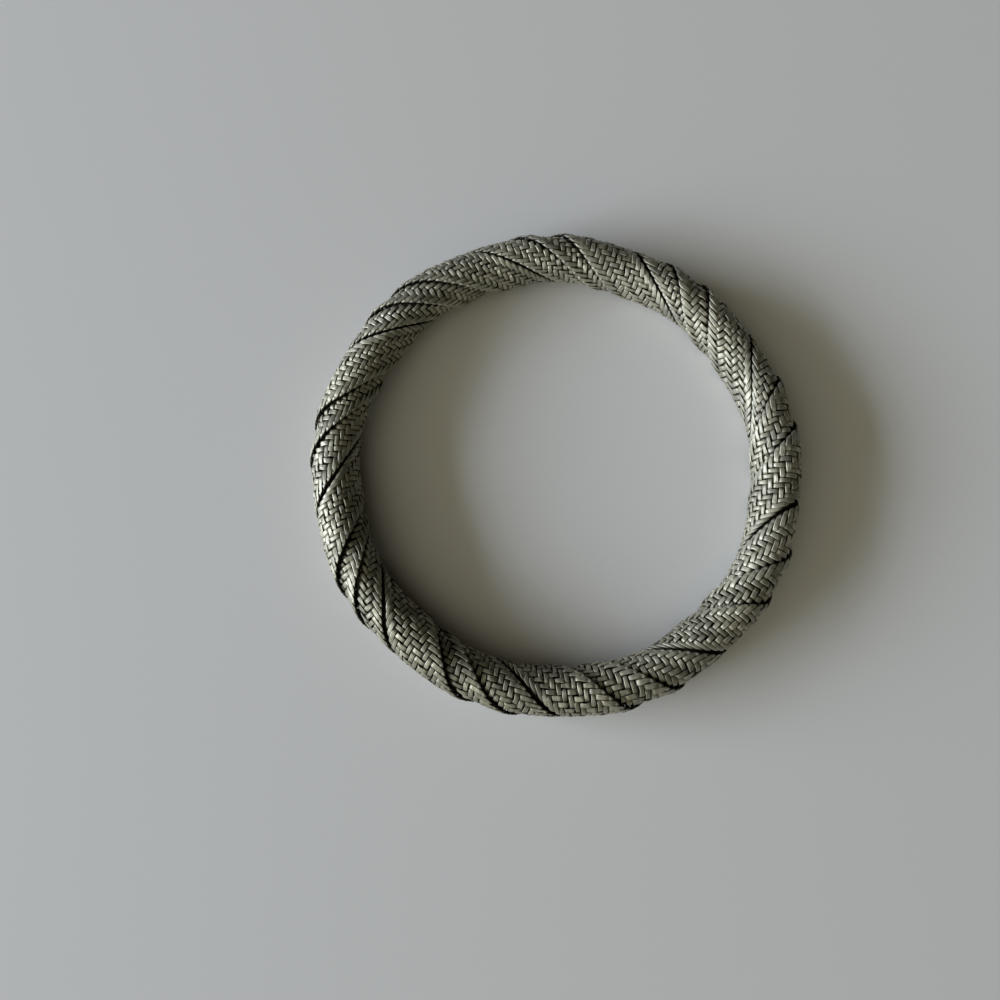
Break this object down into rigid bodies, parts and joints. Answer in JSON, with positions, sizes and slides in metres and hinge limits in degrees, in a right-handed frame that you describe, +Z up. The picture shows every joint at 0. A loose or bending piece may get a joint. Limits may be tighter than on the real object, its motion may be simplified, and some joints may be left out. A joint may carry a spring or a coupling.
{
  "type": "twisted wire bangle",
  "caption": "Rigid round bangle of flat woven wire plaits wound slantwise round a ring core, with raised rope-like edges and an open wrist hole.",
  "frame": {"origin": "centre of the ring on the surface it lies on, level with the lowest point of the plaits", "axes": "+Z up along the axis of the wrist opening, +Y towards the back of the ring as it lies in the picture, +X to its right"},
  "size_m": [0.0813, 0.081, 0.0085],
  "materials": {
    "core": "dull, hidden under the plaits",
    "wide_plait_wire": "aged pewter tone, satin, dark in the hollows of the weave",
    "middle_plait_wire": "aged pewter tone, satin, dark in the hollows of the weave",
    "slim_plait_wire": "aged pewter tone, satin, dark in the hollows of the weave"
  },
  "bodies": {
    "root": {"core_ring": "core", "wide_plait": "wide_plait_wire", "middle_plait": "middle_plait_wire", "slim_plait": "slim_plait_wire"}
  },
  "joints": []
}
